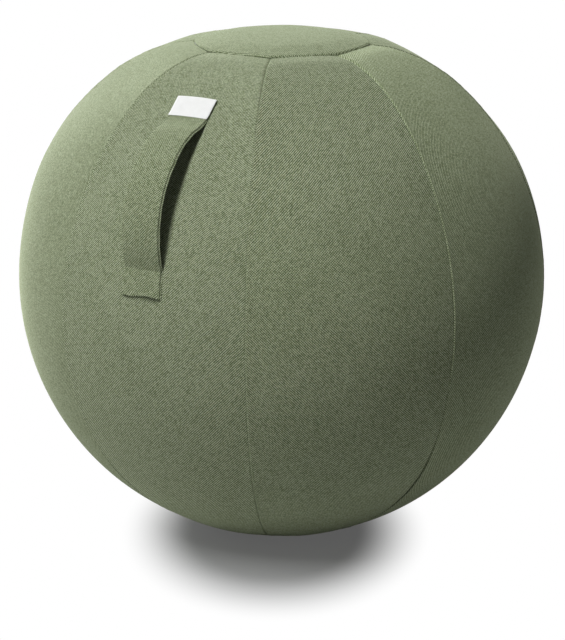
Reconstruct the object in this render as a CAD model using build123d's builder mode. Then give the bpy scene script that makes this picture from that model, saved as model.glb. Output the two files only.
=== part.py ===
from build123d import *
import os
from math import acos, atan2, cos, degrees, radians, sin, tan

# Sitting ball: an inflated inner ball in a sewn cover of eight gores, a top cap and a base panel, with a
# carry strap on the front gore and a zip in the rear half of the base seam. Millimetres, +Z up, the strap
# faces -Y, and the origin is the middle of the patch that rests on the floor. Angles are in degrees.

# Cover
ball_radius = 325.0
gore_count = 8
cloth = 2.0
seam_gap = 0.3
seam_round = 1.2
allowance_width = 8.0
allowance_thickness = 2.3

# Top of the ball, flatter than a sphere from the shoulder to the cap
shoulder_latitude = 50.0
cap_radius = 108.8
cap_slope = 7.5
cap_corner = 2.5
cap_proud = 1.2

# Base panel, pressed flat where it meets the floor
base_latitude = 69.6
base_flat_radius = 65.0

# Inner ball and its valve
bladder_clearance = 0.3
bladder_wall = 1.2
valve_latitude = -45.0
valve_azimuth = 90.0
valve_seat_radius = 15.0
valve_seat_floor = 4.0
valve_cup_radius = 11.0
valve_cup_depth = 6.0
valve_bore_radius = 4.5
valve_clearance = 0.2
plug_head_radius = 8.5
plug_head_height = 2.0
plug_shank_length = 9.0

# Carry strap
strap_width = 52.0
strap_thickness = 3.0
strap_clearance = 0.3
strap_bow = 27.5
bow_radius = 108.0
bow_latitude = 28.6
fold_radius = 8.0
run_out_radius = 600.0
tab_end_latitude = 8.3
strap_end_latitude = 52.4
grip_below = 80.0
grip_above = 40.0
grip_gap = 0.3
tag_latitude = 47.0
tag_clearance = 0.3
tag_thickness = 0.5

# Zip in the base seam, across the rear gores
zip_gores = 3
zip_window = 5.0
zip_end_margin = 1.2
tape_thickness = 0.6
tape_clearance = 0.1
tape_width = 14.0
tooth_slit = 0.6
tooth_root = 2.9
tooth_height = 1.8
tooth_length = 1.6
tooth_pitch = 3.0
bead_width = 0.8
bead_height = 1.2
stop_length = 3.0
slider_length = 10.0
slider_clearance = 0.3
slider_outer_plate = 1.6
slider_inner_plate = 0.8
slider_flange = 1.1
slider_post = 0.6
bridge_width = 2.0
bridge_thickness = 0.8
bridge_room = 2.1
pull_length = 14.0
pull_width = 6.0
pull_thickness = 1.2
pull_arm = 1.4
pull_bar_radius = 0.65
pull_hang = 22.0


def polar(radius, angle, centre=(0, 0)):
    """Point at an angle round a centre."""
    return (centre[0] + radius * cos(radians(angle)), centre[1] + radius * sin(radians(angle)))


def bearing(start, end):
    """Angle of the line from one point to another."""
    return degrees(atan2(end[1] - start[1], end[0] - start[0]))


# The cover's meridian is four tangent arcs, each given by its centre, its radius and the span of its
# normal's angle. Distances are from the axis, and heights from the middle of the ball.
base_arc_radius = ball_radius - base_flat_radius / cos(radians(base_latitude))
base_arc_centre = polar(ball_radius - base_arc_radius, -base_latitude)
base_height = base_arc_centre[1] - base_arc_radius
shoulder_reach = cos(radians(shoulder_latitude))
shoulder_radius = (ball_radius * shoulder_reach - cap_radius) / (shoulder_reach - sin(radians(cap_slope)))
shoulder_centre = polar(ball_radius - shoulder_radius, shoulder_latitude)
cap_height = polar(shoulder_radius, 90 - cap_slope, shoulder_centre)[1]
crown_radius = cap_radius / sin(radians(cap_slope))
crown_centre = (0, cap_height - crown_radius * cos(radians(cap_slope)))
meridian = [
    (base_arc_centre, base_arc_radius, -90, -base_latitude),
    ((0, 0), ball_radius, -base_latitude, shoulder_latitude),
    (shoulder_centre, shoulder_radius, shoulder_latitude, 90 - cap_slope),
    (crown_centre, crown_radius, 90 - cap_slope, 90),
]
centre_height = -base_height

gore_angle = 360 / gore_count
seam_gap_angle = degrees(seam_gap / ball_radius)
front_azimuth = -90.0
rear_azimuth = 90.0
cap_corner_radius = cap_radius + cap_corner
cap_middle_radius = cap_radius - cap_corner
lining = cloth + allowance_thickness
# Room that a cut runs past the piece it cuts
overrun = ball_radius / 8


def meridian_plane(azimuth):
    """Upright plane through the axis: x is the distance from it, y the height from the ball's middle."""
    facing = radians(azimuth)
    return Plane(
        origin=(0, 0, centre_height),
        x_dir=(cos(facing), sin(facing), 0),
        z_dir=(sin(facing), -cos(facing), 0),
    )


def plan_plane(azimuth, height):
    """Level plane whose x axis points along an azimuth."""
    facing = radians(azimuth)
    return Plane(origin=(0, 0, height), x_dir=(cos(facing), sin(facing), 0), z_dir=(0, 0, 1))


def skin_arcs(inset, low, high):
    """The meridian's arcs between two angles of the normal, moved in from the outside of the cover."""
    arcs = []
    for centre, radius, first, last in meridian:
        start = max(low, first)
        end = min(high, last)
        if end > start:
            arcs.append(CenterArc(centre, radius - inset, start, end - start))
    return arcs


def skin_band(outer, inner, low, high):
    """Section of a layer of the ball between two insets. From -90 it takes in the flat patch."""
    with BuildLine() as outline:
        outside = skin_arcs(outer, low, high)
        inside = skin_arcs(inner, low, high)
        if low == -90:
            outer_foot = Line((0, base_height + outer), outside[0] @ 0)
            inner_foot = Line((0, base_height + inner), inside[0] @ 0)
            Line(outer_foot @ 0, inner_foot @ 0)
        else:
            Line(outside[0] @ 0, inside[0] @ 0)
        Line(outside[-1] @ 1, inside[-1] @ 1)
    make_face(outline.edges())


def shoulder_angle(radius):
    """Angle of the normal where the shoulder arc stands at a distance from the axis."""
    return degrees(acos((radius - shoulder_centre[0]) / shoulder_radius))


def crown_angle(radius):
    """Angle of the normal where the crown arc stands at a distance from the axis."""
    return degrees(acos(radius / crown_radius))


def cap_outline(gap):
    """Outline of the top cap in plan: an arc over each gore, with a soft corner at each seam."""
    with BuildLine() as outline:
        for index in range(gore_count):
            seam = front_azimuth + (index - 0.5) * gore_angle
            ThreePointArc(
                polar(cap_corner_radius + gap, seam),
                polar(cap_middle_radius + gap, seam + gore_angle / 2),
                polar(cap_corner_radius + gap, seam + gore_angle),
            )
    make_face(outline.edges())


os.makedirs("parts", exist_ok=True)

# Gores. The rear ones stop short of the base seam, where the zip's window is.
zip_span = zip_gores * gore_angle
zip_start = rear_azimuth - zip_span / 2
plain_gore_foot = -base_latitude + seam_gap_angle / 2
zip_gore_foot = -base_latitude + degrees(zip_window / ball_radius)
allowance_foot = -base_latitude + degrees((tape_width + allowance_width) / ball_radius)
gore_top = crown_angle(cap_middle_radius - allowance_width)
gore_arc = gore_angle - seam_gap_angle
allowance_apex = allowance_width / sin(radians(gore_angle / 2))
wedge_reach = 2 * ball_radius
wedge_half = (wedge_reach - allowance_apex) * tan(radians(gore_angle / 2))
for index in range(gore_count):
    azimuth = front_azimuth + index * gore_angle
    from_rear = abs((azimuth - rear_azimuth + 180) % 360 - 180)
    foot = zip_gore_foot if from_rear < zip_span / 2 else plain_gore_foot
    with BuildPart() as gore_panel:
        # The edges are turned in along both side seams.
        with BuildSketch(meridian_plane(azimuth - gore_arc / 2)):
            skin_band(cloth, lining, allowance_foot, gore_top)
        revolve(axis=Axis.Z, revolution_arc=gore_arc)
        with BuildSketch(plan_plane(azimuth, centre_height)):
            Polygon(
                (allowance_apex, 0),
                (wedge_reach, -wedge_half),
                (wedge_reach, wedge_half),
                align=None,
            )
        extrude(amount=ball_radius, both=True, mode=Mode.SUBTRACT)
        with BuildSketch(meridian_plane(azimuth - gore_arc / 2)):
            skin_band(0, cloth, foot, gore_top)
        revolve(axis=Axis.Z, revolution_arc=gore_arc)
        # The cloth rounds over into each side seam.
        seam_edges = [
            edge
            for edge in gore_panel.edges().filter_by(GeomType.CIRCLE)
            if any(abs(edge.radius - arc[1]) < seam_gap / 2 for arc in meridian[1:])
        ]
        fillet(seam_edges, seam_round)
        with BuildSketch(Plane.XY.offset(centre_height + cap_height)):
            cap_outline(seam_gap)
        extrude(amount=overrun, both=True, mode=Mode.SUBTRACT)
    gore_panel.part.label = f"gore_panel_{index + 1}"
    export_step(gore_panel.part, f"parts/gore_panel_{index + 1}.step")

# Top cap, a little proud of the gores, with its edge turned in
cap_edge = shoulder_angle(cap_corner_radius + allowance_width)
with BuildPart() as top_cap:
    with BuildSketch(meridian_plane(front_azimuth)):
        skin_band(-cap_proud, cloth, cap_edge, 90)
    revolve(axis=Axis.Z)
    with BuildSketch(meridian_plane(front_azimuth)):
        skin_band(cloth, lining, cap_edge, gore_top)
    revolve(axis=Axis.Z)
    with BuildSketch(Plane.XY.offset(centre_height + cap_height)):
        cap_outline(0)
    extrude(amount=overrun, both=True, mode=Mode.INTERSECT)
top_cap.part.label = "top_cap"
export_step(top_cap.part, "parts/top_cap.step")

# Base panel: a full disc up to the zip's window, and a rim where the seam is plain
base_disc_edge = -base_latitude - degrees(zip_window / base_arc_radius)
base_rim_edge = -base_latitude - degrees(seam_gap / 2 / base_arc_radius)
with BuildPart() as base_panel:
    with BuildSketch(meridian_plane(zip_start)):
        skin_band(0, cloth, -90, base_disc_edge)
    revolve(axis=Axis.Z)
    with BuildSketch(meridian_plane(zip_start + zip_span)):
        skin_band(0, cloth, base_disc_edge, base_rim_edge)
    revolve(axis=Axis.Z, revolution_arc=360 - zip_span)
base_panel.part.label = "base_panel"
export_step(base_panel.part, "parts/base_panel.step")

# Inner ball, hollow, held by the cover's turned-in edges, with a hole for its valve seat
bladder_inset = lining + bladder_clearance
valve_facing = radians(valve_azimuth)
valve_tilt = radians(valve_latitude)
valve_normal = Vector(
    cos(valve_tilt) * cos(valve_facing),
    cos(valve_tilt) * sin(valve_facing),
    sin(valve_tilt),
)
valve_sagitta = valve_seat_radius**2 / (2 * (ball_radius - bladder_inset))
valve_mouth = ball_radius - bladder_inset - valve_sagitta
valve_origin = Vector(0, 0, centre_height) + valve_normal * valve_mouth
valve_side = (-sin(valve_facing), cos(valve_facing), 0)


def valve_plane(depth):
    """Plane square to the valve's axis, at a depth below the seat's mouth."""
    return Plane(origin=valve_origin - valve_normal * depth, x_dir=valve_side, z_dir=valve_normal)


with BuildPart() as inner_ball:
    with BuildSketch(meridian_plane(front_azimuth)):
        skin_band(bladder_inset, bladder_inset + bladder_wall, -90, 90)
    revolve(axis=Axis.Z)
    with BuildSketch(valve_plane(0)):
        Circle(valve_seat_radius + valve_clearance / 2)
    extrude(amount=overrun, both=True, mode=Mode.SUBTRACT)
inner_ball.part.label = "inner_ball"
export_step(inner_ball.part, "parts/inner_ball.step")

# Valve seat: a moulded cup with a bore through its floor
with BuildPart() as valve_seat:
    with BuildSketch(valve_plane(valve_cup_depth + valve_seat_floor)):
        Circle(valve_seat_radius)
    extrude(amount=valve_cup_depth + valve_seat_floor)
    with BuildSketch(valve_plane(0)):
        Circle(valve_cup_radius)
    extrude(amount=-valve_cup_depth, mode=Mode.SUBTRACT)
    with BuildSketch(valve_plane(0)):
        Circle(valve_bore_radius)
    extrude(amount=-overrun, mode=Mode.SUBTRACT)
valve_seat.part.label = "valve_seat"
export_step(valve_seat.part, "parts/valve_seat.step")

# Valve plug: a flat head in the cup, and a shank in the bore
plug_head_top = valve_cup_depth - valve_clearance - plug_head_height
with BuildPart() as valve_plug:
    with BuildSketch(valve_plane(plug_head_top)):
        Circle(plug_head_radius)
    extrude(amount=-plug_head_height)
    with BuildSketch(valve_plane(plug_head_top + plug_head_height)):
        Circle(valve_bore_radius - valve_clearance)
    extrude(amount=-plug_shank_length)
    chamfer(valve_plug.edges().sort_by(Axis(valve_origin, valve_normal))[0], valve_bore_radius / 4)
valve_plug.part.label = "valve_plug"
export_step(valve_plug.part, "parts/valve_plug.step")

# Carry strap. In the front meridian plane its middle line is a tab on the cover, a fold, the bow, a long
# run-out that curves the other way, and an end on the cover, all tangent to each other.
strap_seat = ball_radius + strap_clearance + strap_thickness / 2
bow_distance = ball_radius + strap_bow - bow_radius
bow_centre = polar(bow_distance, bow_latitude)


def landing_angle(radius):
    """Angle at the ball's middle, from the bow's top to where an arc of this radius lands on the cover."""
    far = strap_seat + radius
    across = bow_radius + radius
    return degrees(acos((bow_distance**2 + far**2 - across**2) / (2 * bow_distance * far)))


fold_latitude = bow_latitude - landing_angle(fold_radius)
lift_latitude = bow_latitude + landing_angle(run_out_radius)
fold_centre = polar(strap_seat + fold_radius, fold_latitude)
run_out_centre = polar(strap_seat + run_out_radius, lift_latitude)
bow_low = bearing(bow_centre, fold_centre)
bow_high = bearing(bow_centre, run_out_centre)

# The loop swings about the line through the fold and the point where the run-out lands.
swing_latitude = (fold_latitude + lift_latitude) / 2
swing_half = (lift_latitude - fold_latitude) / 2
swing_distance = strap_seat * cos(radians(swing_half))
swing_centre = polar(swing_distance, swing_latitude)


def strap_arc(centre, radius, start, end, inner, outer, side):
    """One arc of the strap's section. side is 1 where it bows outward, -1 where it curves back."""
    with BuildLine() as outline:
        near = CenterArc(centre, radius + side * inner, start, end - start)
        far = CenterArc(centre, radius + side * outer, start, end - start)
        Line(near @ 0, far @ 0)
        Line(near @ 1, far @ 1)
    make_face(outline.edges())


def strap_section(inner, outer):
    """Section of the strap, or of what lies on it, between two distances from its middle line."""
    strap_arc((0, 0), strap_seat, tab_end_latitude, fold_latitude, inner, outer, 1)
    strap_arc(fold_centre, fold_radius, bow_low + 180, fold_latitude + 180, inner, outer, -1)
    strap_arc(bow_centre, bow_radius, bow_low, bow_high, inner, outer, 1)
    strap_arc(run_out_centre, run_out_radius, bow_high + 180, lift_latitude + 180, inner, outer, -1)
    strap_arc((0, 0), strap_seat, lift_latitude, strap_end_latitude, inner, outer, 1)


def keep_along_swing(low, high):
    """Keep the part of the section between two distances along the swing line, from its middle."""
    with Locations(polar((low + high) / 2, swing_latitude + 90, swing_centre)):
        Rectangle(ball_radius, high - low, rotation=swing_latitude, mode=Mode.INTERSECT)


half_strap = strap_thickness / 2
strap_plane = meridian_plane(front_azimuth)
strap_stretches = {
    "handle_lower_end": (-ball_radius, -grip_below - grip_gap),
    "handle_loop": (-grip_below, grip_above),
    "handle_upper_end": (grip_above + grip_gap, ball_radius),
}
for name, (low, high) in strap_stretches.items():
    with BuildPart() as strap_piece:
        with BuildSketch(strap_plane):
            strap_section(-half_strap, half_strap)
            keep_along_swing(low, high)
        extrude(amount=strap_width / 2, both=True)
    strap_piece.part.label = name
    export_step(strap_piece.part, f"parts/{name}.step")

# Blank tag across the strap's upper end
with BuildPart() as handle_tag:
    with BuildSketch(strap_plane):
        strap_section(half_strap + tag_clearance, half_strap + tag_clearance + tag_thickness)
        Polygon(
            (0, 0),
            polar(wedge_reach, tag_latitude),
            polar(wedge_reach, strap_end_latitude),
            align=None,
            mode=Mode.INTERSECT,
        )
    extrude(amount=strap_width / 2, both=True)
handle_tag.part.label = "handle_tag"
export_step(handle_tag.part, "parts/handle_tag.step")

# Zip. Its rows lie along the base seam's circle, under the cover's outer face.
seam_radius = ball_radius * cos(radians(base_latitude))
seam_height = centre_height - ball_radius * sin(radians(base_latitude))
tape_top = cloth + tape_clearance
chain_depth = tape_top + tape_thickness / 2
zip_end = zip_start + zip_span


def along_zip(length):
    """Angle that a length along the zip takes up."""
    return degrees(length / seam_radius)


def zip_plane(azimuth):
    """Plane across the zip: x runs up the ball from the seam, y out of the ball."""
    facing = radians(azimuth)
    lean = radians(base_latitude)
    return Plane(
        origin=(seam_radius * cos(facing), seam_radius * sin(facing), seam_height),
        x_dir=(sin(lean) * cos(facing), sin(lean) * sin(facing), cos(lean)),
        z_dir=(-sin(facing), cos(facing), 0),
    )


def zip_block(low_x, high_x, low_y, high_y, mode=Mode.ADD):
    """Rectangle by its limits."""
    with Locations(((low_x + high_x) / 2, (low_y + high_y) / 2)):
        Rectangle(high_x - low_x, high_y - low_y, mode=mode)


# Tapes, one sewn under the gores and one under the base panel
tape_start = zip_start + along_zip(zip_end_margin)
tape_arc = zip_span - 2 * along_zip(zip_end_margin)
tape_spans = {
    "zip_tape_upper": (
        -base_latitude + degrees((tooth_root + tape_clearance) / ball_radius),
        -base_latitude + degrees(tape_width / ball_radius),
    ),
    "zip_tape_lower": (
        -base_latitude - degrees(tape_width / base_arc_radius),
        -base_latitude - degrees((tooth_root + tape_clearance) / base_arc_radius),
    ),
}
for name, (low, high) in tape_spans.items():
    with BuildPart() as zip_tape:
        with BuildSketch(meridian_plane(tape_start)):
            skin_band(tape_top, tape_top + tape_thickness, low, high)
        revolve(axis=Axis.Z, revolution_arc=tape_arc)
    zip_tape.part.label = name
    export_step(zip_tape.part, f"parts/{name}.step")

# Teeth, in two rows of separate teeth on a bead, half a pitch apart
row_start = tape_start + along_zip(stop_length)
row_arc = tape_arc - 2 * along_zip(stop_length)
tooth_count = int(row_arc / along_zip(tooth_pitch)) - 1
pitch_angle = row_arc / (tooth_count + 1)
for name, side, shift in (("zip_teeth_upper", 1, 0.25), ("zip_teeth_lower", -1, 0.75)):
    first_tooth = row_start + shift * pitch_angle
    with BuildPart() as tooth:
        with BuildSketch(zip_plane(first_tooth)):
            limits = sorted((side * tooth_slit, side * tooth_root))
            zip_block(*limits, -chain_depth - tooth_height / 2, -chain_depth + tooth_height / 2)
        revolve(axis=Axis.Z, revolution_arc=along_zip(tooth_length))
    with BuildPart() as zip_teeth:
        with BuildSketch(zip_plane(row_start)):
            limits = sorted((side * (tooth_root - bead_width), side * tooth_root))
            zip_block(*limits, -chain_depth - bead_height / 2, -chain_depth + bead_height / 2)
        revolve(axis=Axis.Z, revolution_arc=row_arc)
        tooth_turns = [Location((0, 0, 0), (0, 0, step * pitch_angle)) for step in range(tooth_count)]
        with Locations(*tooth_turns):
            add(tooth.part)
    zip_teeth.part.label = name
    export_step(zip_teeth.part, f"parts/{name}.step")

# Stops across both rows, at each end of the chain
with BuildPart() as zip_stops:
    for stop_start in (tape_start, row_start + row_arc):
        with BuildSketch(zip_plane(stop_start)):
            zip_block(
                -tooth_root,
                tooth_root,
                -chain_depth - tooth_height / 2,
                -chain_depth + tooth_height / 2,
            )
        revolve(axis=Axis.Z, revolution_arc=along_zip(stop_length))
zip_stops.part.label = "zip_stops"
export_step(zip_stops.part, "parts/zip_stops.step")

# Slider: two plates with flanges round the rows, a post between the rows, and a bridge for the pull.
# Its travel is from the first stop to the last.
slider_arc = along_zip(slider_length)
slider_start = row_start + along_zip(slider_clearance)
slider_middle = slider_start + slider_arc / 2
slider_half = tooth_root + slider_clearance + slider_flange
row_top = -chain_depth + tooth_height / 2
row_bottom = -chain_depth - tooth_height / 2
plate_low = row_top + slider_clearance
plate_top = plate_low + slider_outer_plate
flange_low = -tape_top + slider_clearance
flange_high = -tape_top - tape_thickness - slider_clearance
inner_high = row_bottom - slider_clearance
inner_low = inner_high - slider_inner_plate
bridge_low = plate_top + bridge_room
bridge_top = bridge_low + bridge_thickness
with BuildPart() as zip_slider:
    with BuildSketch(zip_plane(slider_start)):
        zip_block(-slider_half, slider_half, plate_low, plate_top)
        zip_block(-slider_half, slider_half, inner_low, inner_high)
        for inner_edge in (-slider_half, slider_half - slider_flange):
            zip_block(inner_edge, inner_edge + slider_flange, flange_low, plate_low)
            zip_block(inner_edge, inner_edge + slider_flange, inner_high, flange_high)
        zip_block(-slider_post / 2, slider_post / 2, inner_high, plate_low)
    revolve(axis=Axis.Z, revolution_arc=slider_arc)
    bridge_half = slider_length / 2 - slider_flange
    with BuildSketch(zip_plane(slider_middle)):
        zip_block(-bridge_width / 2, bridge_width / 2, plate_top - slider_outer_plate / 2, bridge_top)
    extrude(amount=bridge_half, both=True)
    with BuildSketch(zip_plane(slider_middle)):
        zip_block(-bridge_width / 2, bridge_width / 2, plate_top, bridge_low)
    extrude(amount=bridge_half - bridge_thickness, both=True, mode=Mode.SUBTRACT)
zip_slider.part.label = "zip_slider"
export_step(zip_slider.part, "parts/zip_slider.step")

# Pull: a tongue with a window round the bridge, hung on a bar under it
slider_frame = zip_plane(slider_middle)
bar_height = plate_top + bridge_room / 2
bar_centre = slider_frame.origin + slider_frame.y_dir * bar_height
hang = radians(pull_hang)
pull_direction = slider_frame.z_dir * cos(hang) + slider_frame.y_dir * sin(hang)
pull_face = slider_frame.z_dir * sin(hang) - slider_frame.y_dir * cos(hang)
window_end = bridge_half + bridge_top - bar_height
with BuildPart() as zip_pull:
    with BuildSketch(Plane(origin=bar_centre, x_dir=slider_frame.x_dir, z_dir=pull_face)):
        zip_block(-pull_width / 2, pull_width / 2, -pull_bar_radius, pull_length - pull_width / 2)
        with Locations((0, pull_length - pull_width / 2)):
            Circle(pull_width / 2)
        zip_block(
            -pull_width / 2 + pull_arm,
            pull_width / 2 - pull_arm,
            -2 * pull_bar_radius,
            window_end,
            Mode.SUBTRACT,
        )
    extrude(amount=pull_thickness / 2, both=True)
    with BuildSketch(Plane(origin=bar_centre, x_dir=pull_direction, z_dir=slider_frame.x_dir)):
        Circle(pull_bar_radius)
    extrude(amount=pull_width / 2, both=True)
zip_pull.part.label = "zip_pull"
export_step(zip_pull.part, "parts/zip_pull.step")

print("height", centre_height + crown_centre[1] + crown_radius + cap_proud)
print("swing line through", swing_centre, "latitude", swing_latitude, "half", swing_half)
print("slider at", slider_middle, "travel", row_arc - slider_arc - 2 * along_zip(slider_clearance))
print("pull bar at", bar_centre, "along", slider_frame.x_dir)
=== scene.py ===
"""Looks of a sitting ball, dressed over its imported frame. Metres, +Z up, the strap faces -Y."""

from math import acos, atan2, cos, degrees, pi, radians, sin, sqrt

import bmesh
import bpy
import numpy as np
from mathutils import Matrix, Vector


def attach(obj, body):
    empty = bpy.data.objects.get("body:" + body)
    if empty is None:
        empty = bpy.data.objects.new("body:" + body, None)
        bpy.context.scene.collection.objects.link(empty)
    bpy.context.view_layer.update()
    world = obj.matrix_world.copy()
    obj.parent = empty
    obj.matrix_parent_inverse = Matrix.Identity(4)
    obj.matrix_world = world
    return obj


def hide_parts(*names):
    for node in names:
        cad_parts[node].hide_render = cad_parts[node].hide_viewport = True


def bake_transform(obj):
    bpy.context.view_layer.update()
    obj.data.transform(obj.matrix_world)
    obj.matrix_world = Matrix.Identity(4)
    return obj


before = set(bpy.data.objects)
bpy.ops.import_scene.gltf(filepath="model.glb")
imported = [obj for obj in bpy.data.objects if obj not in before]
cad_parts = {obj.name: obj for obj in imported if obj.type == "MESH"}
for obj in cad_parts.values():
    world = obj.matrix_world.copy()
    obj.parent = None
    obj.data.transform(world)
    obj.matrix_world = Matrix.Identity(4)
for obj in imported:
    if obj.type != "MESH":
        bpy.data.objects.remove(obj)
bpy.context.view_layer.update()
scene = bpy.context.scene

# Sizes of the solids, in metres. Latitudes, slopes and spans are in degrees.
BALL = 0.325
GORES = 8
HALF_GORE = pi / GORES
SHOULDER_LATITUDE = 50.0
CAP_RADIUS = 0.1088
CAP_SLOPE = 7.5
CAP_PROUD = 0.0012
BASE_LATITUDE = 69.6
BASE_FLAT = 0.065
STRAP_WIDTH = 0.052
STRAP_THICKNESS = 0.003
STRAP_CLEARANCE = 0.0003
TAG_CLEARANCE = 0.0003
TAG_THICKNESS = 0.0005
ZIP_GORES = (3, 4, 5)
ZIP_START = 22.5
ZIP_SPAN = 135.0
ZIP_WINDOW = 0.005
TAPE_TOP = 0.0021
TAPE_THICKNESS = 0.0006
TAPE_WIDTH = 0.014
TAPE_EDGE = 0.003
BLADDER_DEPTH = 0.0046
VALVE_LATITUDE = -45.0
VALVE_HOLE = 0.0152

# The sewn cap and the strap's line as the photograph shows them, within about 5 mm of their solids
SEWN_CAP_RADIUS = 0.1062
SEWN_CAP_CORNER = 0.0017
CAP_SINK = 0.0018
STRAP_BOW = 0.0276
BOW_RADIUS = 0.1195
BOW_LATITUDE = 29.4
FOLD_RADIUS = 0.004
RUN_OUT_RADIUS = 0.0575
TAB_END_LATITUDE = 8.5
STRAP_END_LATITUDE = 51.3
TAG_LATITUDE = 46.2

# Sizes of the cloth as it was cut and as it is sewn
BASE_SEAM_RADIUS = 0.113
CLOTH = 0.0012
CAP_CLOTH = 0.0014

# The photograph's camera: its place round the ball, and where the ball's middle lies in the frame
CAMERA_AZIMUTH = radians(29.8)
CAMERA_ELEVATION = radians(14.92)
CAMERA_DISTANCE = 3.25
FOCAL_PIXELS = 2608.2
FRAME_WIDTH, FRAME_HEIGHT = 565, 640
BALL_AT = (281.76, 273.93)
SENSOR = 36.0

MILLIMETRES = 1e3
ANGLE_SLACK = 1e-9
# What is left open at the middle of a round mesh
POLE = 1e-5
NEAR_POLE = 0.001


def polar(radius, angle, centre=(0.0, 0.0)):
    """Point at an angle in degrees round a centre."""
    return (centre[0] + radius * cos(radians(angle)), centre[1] + radius * sin(radians(angle)))


def bearing(start, end):
    """Angle in degrees of the line from one point to another."""
    return degrees(atan2(end[1] - start[1], end[0] - start[0]))


def degrees_of(angle):
    """Radians to degrees."""
    return angle * 180 / pi


def smooth(value, low, high):
    """0 below low, 1 above high, with an even turn between."""
    t = np.clip((value - low) / (high - low), 0, 1)
    return t * t * (3 - 2 * t)


def between(value, rise, fall):
    """1 between a rise and a fall, each given by where it starts and ends, and 0 outside them."""
    return smooth(value, *rise) * (1 - smooth(value, *fall))


# The cover's meridian: four tangent arcs (centre, radius, first and last angle of the normal)
BASE_ARC = BALL - BASE_FLAT / cos(radians(BASE_LATITUDE))
base_centre = polar(BALL - BASE_ARC, -BASE_LATITUDE)
CENTRE_HEIGHT = BASE_ARC - base_centre[1]
shoulder_reach = cos(radians(SHOULDER_LATITUDE))
SHOULDER_ARC = (BALL * shoulder_reach - CAP_RADIUS) / (shoulder_reach - sin(radians(CAP_SLOPE)))
shoulder_centre = polar(BALL - SHOULDER_ARC, SHOULDER_LATITUDE)
cap_foot = polar(SHOULDER_ARC, 90 - CAP_SLOPE, shoulder_centre)
CROWN_ARC = CAP_RADIUS / sin(radians(CAP_SLOPE))
crown_centre = (0.0, cap_foot[1] - CROWN_ARC * cos(radians(CAP_SLOPE)))
MERIDIAN = [
    (base_centre, BASE_ARC, -90.0, -BASE_LATITUDE),
    ((0.0, 0.0), BALL, -BASE_LATITUDE, SHOULDER_LATITUDE),
    (shoulder_centre, SHOULDER_ARC, SHOULDER_LATITUDE, 90 - CAP_SLOPE),
    (crown_centre, CROWN_ARC, 90 - CAP_SLOPE, 90.0),
]
ANGLE_KNOTS = np.radians([MERIDIAN[0][2]] + [arc[3] for arc in MERIDIAN])
LENGTH_KNOTS = np.concatenate([[0.0], np.cumsum([a[1] * radians(a[3] - a[2]) for a in MERIDIAN])])


def length_at(angle):
    """Length along the meridian, from the edge of the flat patch, to a normal's angle in radians."""
    return np.interp(angle, ANGLE_KNOTS, LENGTH_KNOTS)


def angle_at(length):
    """The normal's angle in radians at lengths along the meridian."""
    return np.interp(length, LENGTH_KNOTS, ANGLE_KNOTS)


def skin(length, out):
    """Distance from the axis, height and normal's angle at lengths along the meridian, moved outward."""
    angle = angle_at(length)
    rho = np.zeros_like(angle)
    height = np.zeros_like(angle)
    for (centre_x, centre_y), radius, low, high in MERIDIAN:
        here = (angle >= radians(low) - ANGLE_SLACK) & (angle <= radians(high) + ANGLE_SLACK)
        rho = np.where(here, centre_x + (radius + out) * np.cos(angle), rho)
        height = np.where(here, centre_y + (radius + out) * np.sin(angle), height)
    flat = length < 0
    rho = np.where(flat, BASE_FLAT + length, rho)
    height = np.where(flat, base_centre[1] - BASE_ARC - out, height)
    return rho, height + CENTRE_HEIGHT, angle


def round_axis(rho, azimuth, height):
    """Points at distances from the axis, azimuths and heights."""
    return np.stack([rho * np.cos(azimuth), rho * np.sin(azimuth), height], axis=-1)


SEAM_LENGTH = length_at(radians(-BASE_LATITUDE))
FINE_LENGTHS = np.linspace(0, LENGTH_KNOTS[-1], 4000)
FINE_RHO = skin(FINE_LENGTHS, 0.0)[0]
WIDEST = int(np.argmax(FINE_RHO))


def length_at_rho(rho):
    """Length along the upper meridian where it stands at a distance from the axis."""
    return np.interp(-rho, -FINE_RHO[WIDEST:], FINE_LENGTHS[WIDEST:])


# The cap's outline in plan: over each gore an arc through two corners and a nearer middle
CAP_CORNER_R = SEWN_CAP_RADIUS + SEWN_CAP_CORNER
CAP_MIDDLE_R = SEWN_CAP_RADIUS - SEWN_CAP_CORNER
OUTLINE_CENTRE = (CAP_CORNER_R**2 - CAP_MIDDLE_R**2) / (2 * (CAP_CORNER_R * cos(HALF_GORE) - CAP_MIDDLE_R))
OUTLINE_ARC = CAP_MIDDLE_R - OUTLINE_CENTRE


def cap_radius_at(offset):
    """Distance of the cap's edge from the axis, at an angle from a gore's middle."""
    aside = OUTLINE_CENTRE * np.sin(offset)
    return OUTLINE_CENTRE * np.cos(offset) + np.sqrt(OUTLINE_ARC**2 - aside**2)


# Near the cap a gore is flatter across than the ball. The mean share keeps the cover's girth.
FACET_MEAN = 0.981
FACET_RISE = (25, 58)
FACET_FALL = (66, 82)


def facet(offset, angle):
    """Share of the ball's distance from the axis that a gore has, at an angle from its middle."""
    flatness = between(degrees_of(angle), FACET_RISE, FACET_FALL)
    return 1 + flatness * (cos(HALF_GORE) / np.cos(np.clip(offset, -HALF_GORE, HALF_GORE)) - FACET_MEAN)


# Where the cover swells past the round, at its left shoulder, how far, and its reach in degrees aside and up
SWELL = 0.0042
SWELL_AZIMUTH = radians(-158)
SWELL_LATITUDE = 29.5
SWELL_REACH = (24, 13)


def swell(azimuth, angle):
    """How far the cover stands out past the round."""
    aside = np.degrees((azimuth - SWELL_AZIMUTH + pi) % (2 * pi) - pi)
    above = degrees_of(angle) - SWELL_LATITUDE
    return SWELL * np.exp(-((aside / SWELL_REACH[0]) ** 2) - (above / SWELL_REACH[1]) ** 2)


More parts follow.
